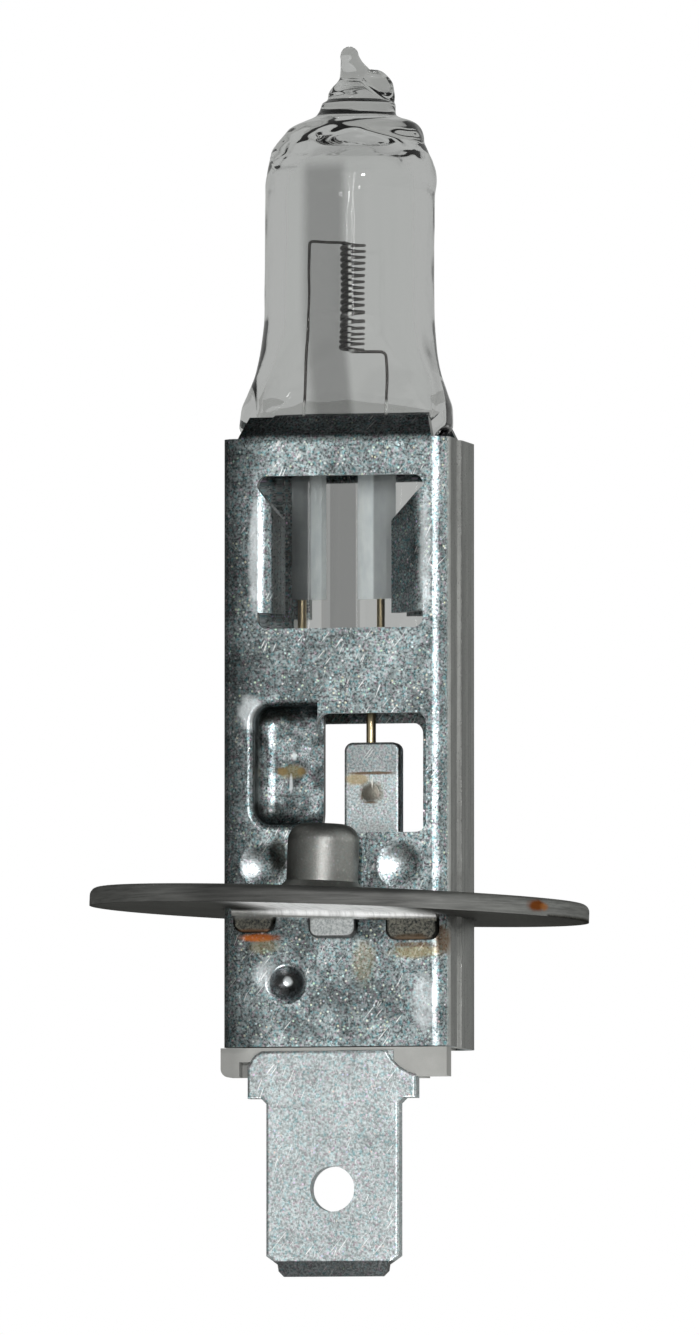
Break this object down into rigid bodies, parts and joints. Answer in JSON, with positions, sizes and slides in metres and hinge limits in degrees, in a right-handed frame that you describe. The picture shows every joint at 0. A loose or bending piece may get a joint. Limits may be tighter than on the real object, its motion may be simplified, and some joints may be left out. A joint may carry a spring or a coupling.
{
  "type": "headlight bulb",
  "caption": "Single-filament halogen headlight bulb: clear glass tube clamped in a rectangular metal sleeve, with a round locating flange and a flat blade contact.",
  "frame": {"origin": "on the lamp axis, in the plane of the flange's top face", "axes": "+Z along the lamp axis towards the glass tip; -Y is the side with the key boss and the blade's open face; +X to the right seen from that side"},
  "size_m": [0.0232, 0.0232, 0.0575],
  "materials": {
    "clear_glass": "clear, smooth, slightly grey",
    "tungsten": "dark drawn wire",
    "molybdenum": "thin satin foil",
    "lead_wire": "drawn wire with straw heat tint",
    "plated_sleeve": "bright plated sheet, fine speckle and light scratches",
    "plated_flange": "satin plated, a rust spot near one edge",
    "ceramic": "smooth matt ceramic",
    "plated_blade": "tin plated, fine matt speckle"
  },
  "bodies": {
    "root": {"glass_envelope": "clear_glass", "filament": "tungsten", "foil_left": "molybdenum", "foil_right": "molybdenum", "lead_shell": "lead_wire", "lead_contact": "lead_wire", "sleeve_front": "plated_sleeve", "sleeve_rear": "plated_sleeve", "flange": "plated_flange", "insulator": "ceramic", "contact_blade": "plated_blade"}
  },
  "joints": []
}
